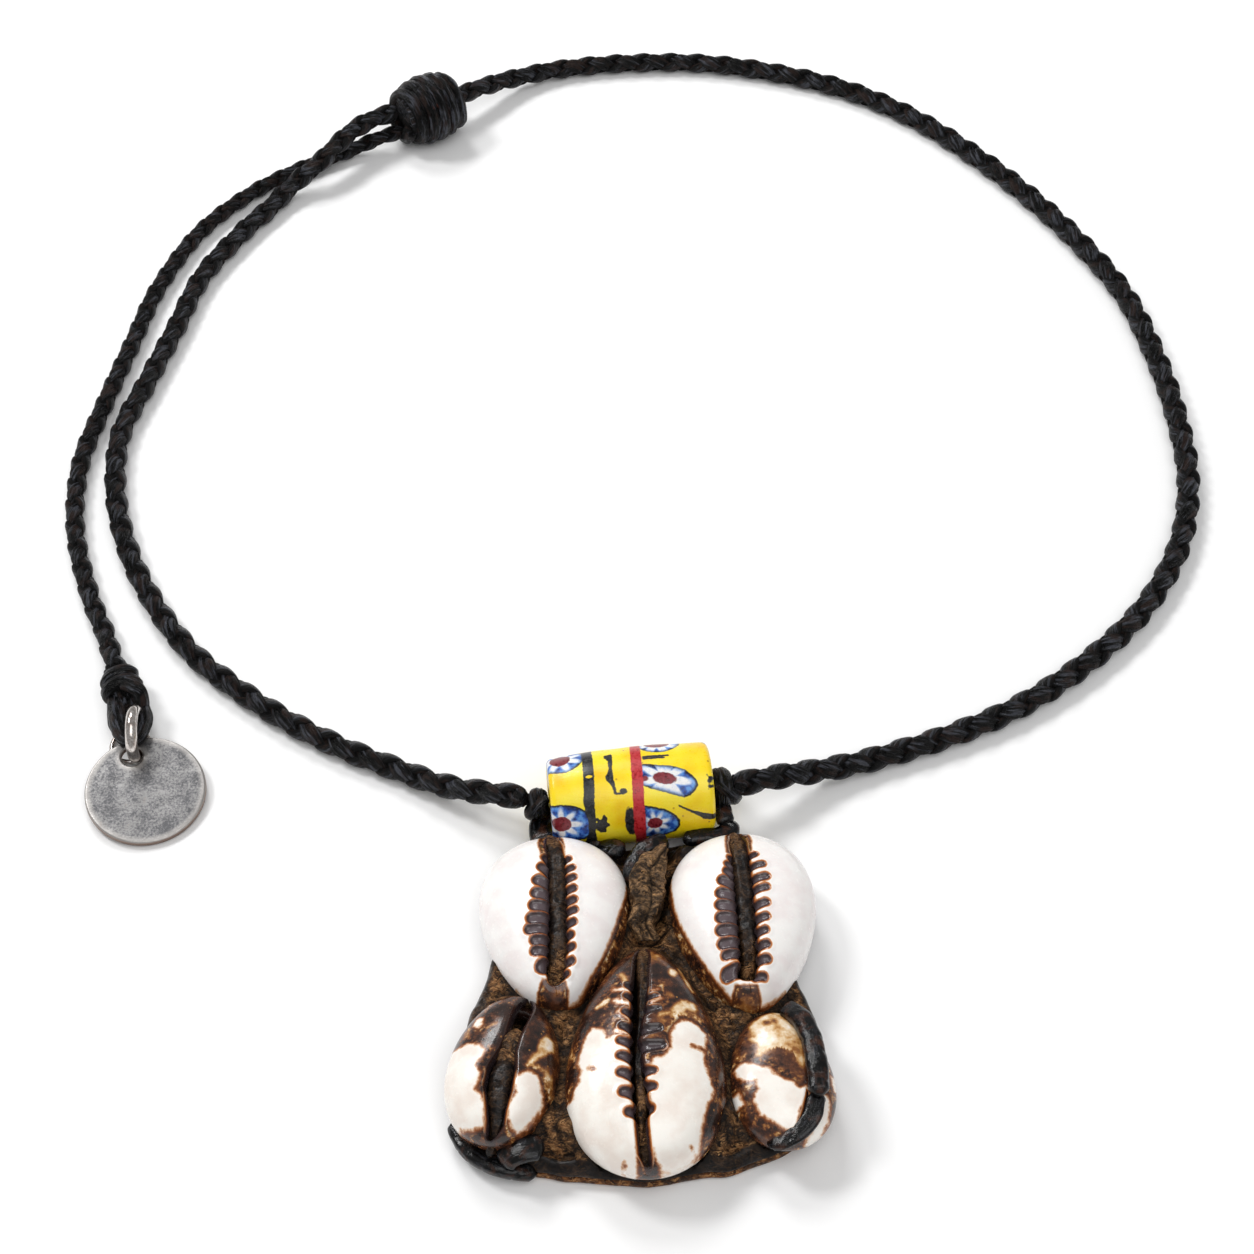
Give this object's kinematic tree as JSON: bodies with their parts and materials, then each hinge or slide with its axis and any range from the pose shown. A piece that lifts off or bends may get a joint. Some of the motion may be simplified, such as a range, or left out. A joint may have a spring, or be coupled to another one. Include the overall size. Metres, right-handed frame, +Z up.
{
  "type": "amulet necklace",
  "caption": "Hide amulet set with cowrie shells under a yellow glass bead, on a braided neck cord with a sliding knot, a free tail and a round metal tag.",
  "frame": {"origin": "on the surface it lies on, under the middle of the amulet and bead", "axes": "+Z up from the surface, +Y from the amulet to the neck loop, +X to the amulet's right in the picture"},
  "size_m": [0.1654, 0.2079, 0.0125],
  "materials": {
    "back_hide": "matt",
    "front_hide": "rough",
    "fold_hide": "rough",
    "black_leather": "polished by wear",
    "thong_leather": "satin",
    "white_shell": "glossy",
    "spotted_shell": "glossy",
    "bead_glass": "opaque, satin",
    "waxed_cord": "waxed",
    "ring_silver": "polished",
    "tag_silver": "tumbled, antiqued"
  },
  "bodies": {
    "root": {"hide_back": "back_hide", "hide_front": "front_hide", "hide_fold": "fold_hide", "strip_left": "black_leather", "strip_tab": "black_leather", "strip_right": "black_leather", "thong_left": "thong_leather", "thong_centre": "thong_leather", "thong_right": "thong_leather", "cowrie_upper_left": "white_shell", "cowrie_upper_right": "white_shell", "cowrie_centre": "spotted_shell", "cowrie_lower_left": "spotted_shell", "cowrie_lower_right": "spotted_shell", "trade_bead": "bead_glass", "cord_core": "waxed_cord", "knot_left": "waxed_cord", "knot_right": "waxed_cord", "cord_right": "waxed_cord", "cord_left": "waxed_cord", "cord_tail": "waxed_cord", "sliding_knot": "waxed_cord", "end_knot": "waxed_cord", "cord_eye": "waxed_cord", "jump_ring": "ring_silver", "small_ring": "ring_silver", "tag_disc": "tag_silver"}
  },
  "joints": []
}
